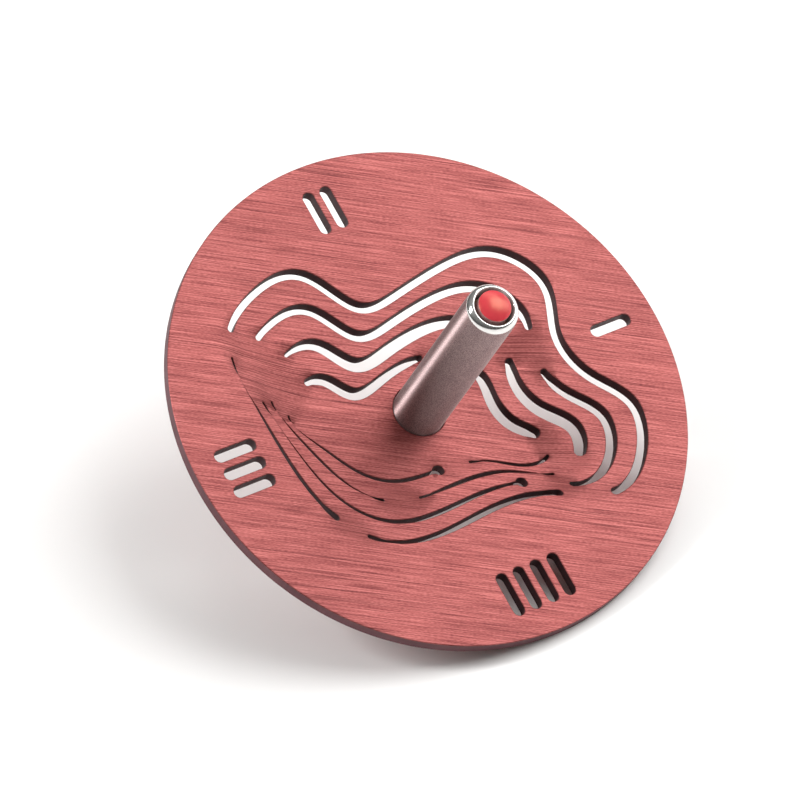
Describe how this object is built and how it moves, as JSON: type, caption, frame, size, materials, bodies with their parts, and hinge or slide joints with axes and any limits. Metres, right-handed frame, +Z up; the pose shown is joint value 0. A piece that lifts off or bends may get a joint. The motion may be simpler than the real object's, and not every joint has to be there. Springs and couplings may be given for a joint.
{
  "type": "spinning top",
  "caption": "Spinning top lying at rest: a pierced metal disc, stepped down round its middle, on a tube stem that turns round a button-topped spindle.",
  "frame": {"origin": "centre of the bounding box, at table height, where the tip and the rim of the disc rest", "axes": "+Z up from the table, +X across the disc along its level diameter, -Y towards the side it leans to, where the rim touches the table"},
  "size_m": [0.08, 0.0718, 0.048],
  "materials": {
    "red_anodised": "brushed, anodised brick red",
    "satin_steel": "satin, with polished ends",
    "red_plastic": "glossy bright red",
    "bright_steel": "ground and polished",
    "bronze": "plain turned",
    "white_plastic": "matt natural white",
    "bare_aluminium": "fine turned"
  },
  "bodies": {
    "spindle_core": {"spindle": "bright_steel", "finger_button": "red_plastic", "tip": "bright_steel", "thrust_washer": "white_plastic"},
    "rotor": {"disc": "red_anodised", "stem_tube": "satin_steel", "hub_collar": "bare_aluminium", "upper_bush": "bronze", "lower_bush": "bronze"}
  },
  "joints": [
    {"name": "spin", "type": "hinge", "parent": "spindle_core", "child": "rotor", "pos_m": [0, 0, 0.01943], "axis": [0, -0.4638, 0.8859], "continuous": true}
  ]
}
